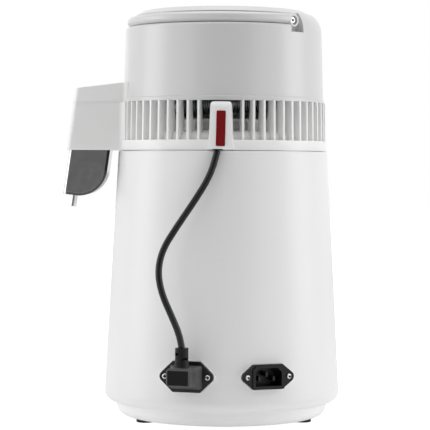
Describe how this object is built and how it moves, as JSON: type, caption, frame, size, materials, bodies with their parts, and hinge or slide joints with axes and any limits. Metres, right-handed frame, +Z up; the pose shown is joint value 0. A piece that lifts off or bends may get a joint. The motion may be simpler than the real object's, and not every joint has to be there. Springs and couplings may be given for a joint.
{
  "type": "countertop water distiller",
  "caption": "Countertop water distiller: tapered boiler base with power sockets under a lift-off head with finned condenser, fan, carry handle, spout and filter cup.",
  "frame": {"origin": "on the body's upright axis at counter height; the flat underside lies 2.4 mm above it, on the feet", "axes": "+Z up; -Y the front, where the spout points; +X the side with the power sockets"},
  "size_m": [0.2485, 0.2615, 0.384],
  "materials": {
    "white_metal": "gloss white enamel",
    "white_plastic": "gloss white moulding",
    "steel": "satin stainless",
    "aluminium": "plain",
    "fastener_steel": "zinc plated",
    "contact_brass": "nickel plated",
    "black_plastic": "moulded",
    "grey_plastic": "moulded",
    "black_rubber": "matt",
    "seal_rubber": "matt silicone",
    "motor_metal": "satin black",
    "chrome": "polished",
    "red_film": "printed film",
    "lens_plastic": "clear red"
  },
  "bodies": {
    "base": {"base_tray": "white_plastic", "feet": "black_rubber", "foot_screws": "fastener_steel", "tray_screws": "fastener_steel", "support_posts": "fastener_steel", "lower_shell": "white_metal", "boiler_pot": "steel", "heater_plate": "aluminium", "heater_element": "steel", "thermostats": "black_plastic", "power_inlet": "black_plastic", "inlet_pins": "contact_brass", "power_outlet": "black_plastic", "outlet_contacts": "contact_brass", "socket_screws": "fastener_steel", "button_bezel": "grey_plastic", "button_switch": "black_plastic", "indicator_lens": "lens_plastic", "fan_cord": "black_rubber"},
    "head": {"vent_ring": "white_plastic", "head_cover": "white_plastic", "top_cap": "white_plastic", "steam_dome": "steel", "head_gasket": "seal_rubber", "dome_screws": "fastener_steel", "cover_screws": "fastener_steel", "condenser_coil": "steel", "condenser_fins": "aluminium", "fan_motor": "motor_metal", "motor_bracket": "fastener_steel", "bracket_screws": "fastener_steel", "handle_pins": "fastener_steel", "cord_gland": "black_rubber", "red_sticker": "red_film"},
    "handle": {"carry_handle": "white_plastic"},
    "fan": {"fan_rotor": "black_plastic", "fan_shaft": "fastener_steel"},
    "cup": {"filter_cup": "chrome", "spout_nozzle": "chrome"},
    "plug": {"plug_body": "black_plastic", "plug_pins": "contact_brass"},
    "button": {"start_button": "grey_plastic"}
  },
  "joints": [
    {"name": "head_lift", "type": "slide", "parent": "base", "child": "head", "axis": [0, 0, 1], "range_m": [0, 0.014], "deforming": ["fan_cord"]},
    {"name": "handle_flip", "type": "hinge", "parent": "head", "child": "handle", "pos_m": [0, 0, 0.3722], "axis": [-0.7022, -0.712, 0], "range_deg": [0, 90]},
    {"name": "fan_spin", "type": "hinge", "parent": "head", "child": "fan", "pos_m": [0, 0, 0.3468], "axis": [0, 0, 1], "continuous": true},
    {"name": "cup_pull", "type": "slide", "parent": "head", "child": "cup", "axis": [0, -0.1392, -0.9903], "range_m": [0, 0.04]},
    {"name": "plug_pull", "type": "slide", "parent": "base", "child": "plug", "axis": [0.9593, -0.2823, 0], "range_m": [0, 0.022], "deforming": ["fan_cord"]},
    {"name": "button_press", "type": "slide", "parent": "base", "child": "button", "axis": [0.6428, 0.766, 0], "range_m": [0, 0.0025], "stiffness_N_per_m": 400, "springref_m": -0.002}
  ]
}
